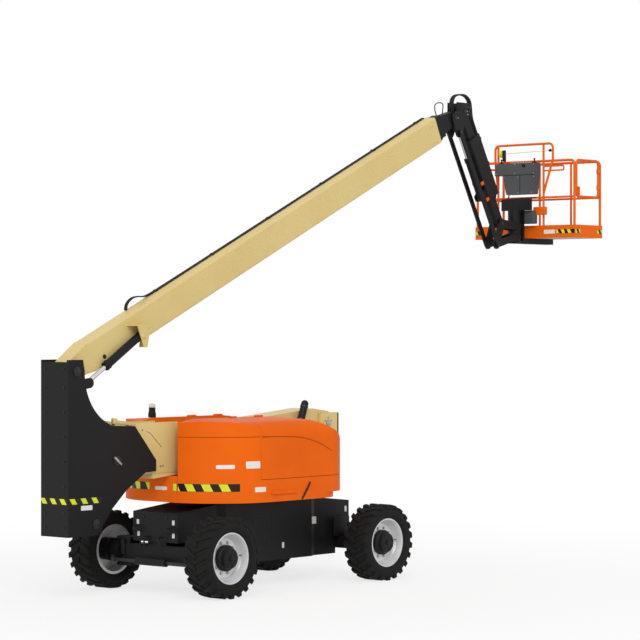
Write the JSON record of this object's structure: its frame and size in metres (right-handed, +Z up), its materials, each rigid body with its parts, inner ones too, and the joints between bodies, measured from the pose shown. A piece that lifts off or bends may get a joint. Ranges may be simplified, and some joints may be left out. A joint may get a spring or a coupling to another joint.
{
  "type": "articulating boom lift",
  "caption": "Self-propelled articulating boom lift on lugged tyres, with a slewing turntable, telescopic tower and boom, upright, jib and caged work platform.",
  "frame": {"origin": "on the ground under the slewing axis", "axes": "+X along the main boom towards the platform, +Z up"},
  "size_m": [10.286, 2.44, 6.562],
  "materials": {
    "orange": "gloss",
    "cream": "gloss",
    "black": "satin",
    "tyre": "matte",
    "rim": "satin",
    "chrome": "polished",
    "plastic": "matte",
    "floor": "satin"
  },
  "bodies": {
    "chassis": {"chassis_frame": "black", "slew_ring": "black", "steer_axle": "black", "drive_axle": "black", "steer_cylinder": "black"},
    "knuckle_near": {"knuckle_near": "black"},
    "knuckle_far": {"knuckle_far": "black"},
    "steer_rod": {"steer_rod": "chrome"},
    "turntable": {"turntable_deck": "orange", "tower_pivot_frame": "cream", "pivot_guard": "plastic", "hood_rear_near": "orange", "hood_rear_far": "orange", "engine": "black", "tanks": "plastic", "exhaust_stack": "black", "beacon": "plastic"},
    "hood_door_near": {"hood_door_near": "orange"},
    "hood_door_far": {"hood_door_far": "orange"},
    "tower_base": {"tower_base": "cream"},
    "tower_fly": {"tower_fly": "black"},
    "tower_barrel": {"tower_cylinder_barrel": "black"},
    "tower_rod": {"tower_cylinder_rod": "chrome"},
    "upright": {"upright_frame": "black", "counterweight": "black"},
    "boom_base": {"boom_base": "cream"},
    "boom_mid": {"boom_mid": "black"},
    "boom_fly": {"boom_fly": "black"},
    "lift_barrels": {"lift_barrels": "black"},
    "lift_rods": {"lift_rods": "chrome"},
    "jib_knuckle": {"jib_knuckle": "black"},
    "jib_boom": {"jib_boom": "black"},
    "jib_link": {"jib_link": "black"},
    "jib_barrel": {"jib_cylinder_barrel": "black"},
    "jib_rod": {"jib_cylinder_rod": "chrome"},
    "jib_head": {"jib_head": "black"},
    "platform": {"platform_support": "black", "platform_floor": "floor", "kick_plates": "orange", "platform_rails": "orange", "console": "plastic"},
    "platform_gate": {"platform_gate": "orange"},
    "wheel_steer_near": {"tyre_steer_near": "tyre", "rim_steer_near": "rim", "hub_steer_near": "black"},
    "wheel_steer_far": {"tyre_steer_far": "tyre", "rim_steer_far": "rim", "hub_steer_far": "black"},
    "wheel_drive_near": {"tyre_drive_near": "tyre", "rim_drive_near": "rim", "hub_drive_near": "black"},
    "wheel_drive_far": {"tyre_drive_far": "tyre", "rim_drive_far": "rim", "hub_drive_far": "black"}
  },
  "joints": [
    {"name": "steer_far", "type": "hinge", "parent": "chassis", "child": "knuckle_far", "pos_m": [-1.525, 0.69, 0.51], "axis": [0, 0, 1], "range_deg": [-35, 35]},
    {"name": "steer_near", "type": "hinge", "parent": "chassis", "child": "knuckle_near", "pos_m": [-1.525, -0.69, 0.51], "axis": [0, 0, 1], "range_deg": [-36, 36]},
    {"name": "steer_rod_slide", "type": "slide", "parent": "chassis", "child": "steer_rod", "axis": [0, -1, 0], "range_m": [-0.12, 0.12]},
    {"name": "wheel_steer_near_spin", "type": "hinge", "parent": "knuckle_near", "child": "wheel_steer_near", "pos_m": [-1.525, -1.0275, 0.51], "axis": [0, 1, 0], "continuous": true},
    {"name": "wheel_steer_far_spin", "type": "hinge", "parent": "knuckle_far", "child": "wheel_steer_far", "pos_m": [-1.525, 1.0275, 0.51], "axis": [0, 1, 0], "continuous": true},
    {"name": "wheel_drive_near_spin", "type": "hinge", "parent": "chassis", "child": "wheel_drive_near", "pos_m": [1.525, -1.0275, 0.51], "axis": [0, 1, 0], "continuous": true},
    {"name": "wheel_drive_far_spin", "type": "hinge", "parent": "chassis", "child": "wheel_drive_far", "pos_m": [1.525, 1.0275, 0.51], "axis": [0, 1, 0], "continuous": true},
    {"name": "slew", "type": "hinge", "parent": "chassis", "child": "turntable", "pos_m": [0, 0, 1.1653], "axis": [0, 0, 1], "continuous": true},
    {"name": "hood_door_far_swing", "type": "hinge", "parent": "turntable", "child": "hood_door_far", "pos_m": [0, 0.364, 2.221], "axis": [1, 0, 0], "range_deg": [0, 55]},
    {"name": "hood_door_near_swing", "type": "hinge", "parent": "turntable", "child": "hood_door_near", "pos_m": [0, -0.364, 2.221], "axis": [-1, 0, 0], "range_deg": [0, 55]},
    {"name": "tower_lift", "type": "hinge", "parent": "turntable", "child": "tower_base", "pos_m": [1.4, 0, 2.08], "axis": [0, 1, 0], "range_deg": [0, 70]},
    {"name": "tower_extend", "type": "slide", "parent": "tower_base", "child": "tower_fly", "axis": [-0.9961, 0, -0.0878], "range_m": [0, 2.6]},
    {"name": "upright_level", "type": "hinge", "parent": "tower_fly", "child": "upright", "pos_m": [-2.57, 0, 1.73], "axis": [0, -1, 0], "range_deg": [-1, 71]},
    {"name": "tower_barrel_turn", "type": "hinge", "parent": "turntable", "child": "tower_barrel", "pos_m": [1.1, 0, 1.34], "axis": [0, -1, 0], "range_deg": [-58.24, 1]},
    {"name": "tower_rod_slide", "type": "slide", "parent": "tower_barrel", "child": "tower_rod", "axis": [-0.9605, 0, 0.2781], "range_m": [-0.01, 0.86032]},
    {"name": "main_lift", "type": "hinge", "parent": "upright", "child": "boom_base", "pos_m": [-3.255, 0, 2.845], "axis": [0, -1, 0], "range_deg": [-27, 47]},
    {"name": "boom_extend", "type": "slide", "parent": "boom_base", "child": "boom_mid", "axis": [0.9078, 0, 0.4195], "range_m": [0, 3.7]},
    {"name": "boom_fly_extend", "type": "slide", "parent": "boom_mid", "child": "boom_fly", "axis": [0.9078, 0, 0.4195], "range_m": [-0.01, 3.71]},
    {"name": "lift_barrel_turn", "type": "hinge", "parent": "boom_base", "child": "lift_barrels", "pos_m": [-2.125, 0, 3.27], "axis": [0, -1, 0], "range_deg": [-2.3, 3.26]},
    {"name": "lift_rod_slide", "type": "slide", "parent": "lift_barrels", "child": "lift_rods", "axis": [-0.8462, 0, -0.5329], "range_m": [-0.12903, 0.21721]},
    {"name": "knuckle_level", "type": "hinge", "parent": "boom_fly", "child": "jib_knuckle", "pos_m": [4.40029, 0, 6.38224], "axis": [0, -1, 0], "range_deg": [-48, 28]},
    {"name": "jib_lift", "type": "hinge", "parent": "jib_knuckle", "child": "jib_boom", "pos_m": [4.61999, 0, 6.49004], "axis": [0, -1, 0], "range_deg": [-11, 105]},
    {"name": "jib_link_turn", "type": "hinge", "parent": "jib_knuckle", "child": "jib_link", "pos_m": [4.49299, 0, 6.17504], "axis": [0, -1, 0], "range_deg": [-12, 106]},
    {"name": "head_level", "type": "hinge", "parent": "jib_boom", "child": "jib_head", "pos_m": [5.51277, 0, 4.89259], "axis": [0, -1, 0], "range_deg": [-106, 12]},
    {"name": "jib_barrel_turn", "type": "hinge", "parent": "jib_boom", "child": "jib_barrel", "pos_m": [5.09148, 0, 5.25284], "axis": [0, -1, 0], "range_deg": [-3.23, 1.23]},
    {"name": "jib_rod_slide", "type": "slide", "parent": "jib_barrel", "child": "jib_rod", "axis": [-0.4806, 0, 0.8769], "range_m": [-0.05145, 0.40566]},
    {"name": "platform_rotate", "type": "hinge", "parent": "jib_head", "child": "platform", "pos_m": [5.92997, 0, 4.64499], "axis": [0, 0, 1], "range_deg": [-90, 90]},
    {"name": "gate_swing", "type": "hinge", "parent": "platform", "child": "platform_gate", "pos_m": [6.81697, -0.896, 4.68499], "axis": [0, 0, -1], "range_deg": [0, 90]}
  ],
  "couplings": [
    {"joint": "steer_near", "follows": "steer_far", "ratio": 1},
    {"joint": "steer_rod_slide", "follows": "steer_far", "m_per_rad": 0.18779},
    {"joint": "upright_level", "follows": "tower_lift", "ratio": 1},
    {"joint": "tower_barrel_turn", "follows": "tower_lift", "ratio": -0.81768},
    {"joint": "tower_rod_slide", "follows": "tower_lift", "m_per_rad": 0.696},
    {"joint": "boom_fly_extend", "follows": "boom_extend", "ratio": 1},
    {"joint": "lift_barrel_turn", "follows": "main_lift", "ratio": 0.048083},
    {"joint": "lift_rod_slide", "follows": "main_lift", "m_per_rad": 0.2526},
    {"joint": "knuckle_level", "follows": "main_lift", "ratio": -1},
    {"joint": "jib_link_turn", "follows": "jib_lift", "ratio": 1},
    {"joint": "head_level", "follows": "jib_lift", "ratio": -1},
    {"joint": "jib_barrel_turn", "follows": "jib_lift", "ratio": -0.021191},
    {"joint": "jib_rod_slide", "follows": "jib_lift", "m_per_rad": 0.2159}
  ]
}
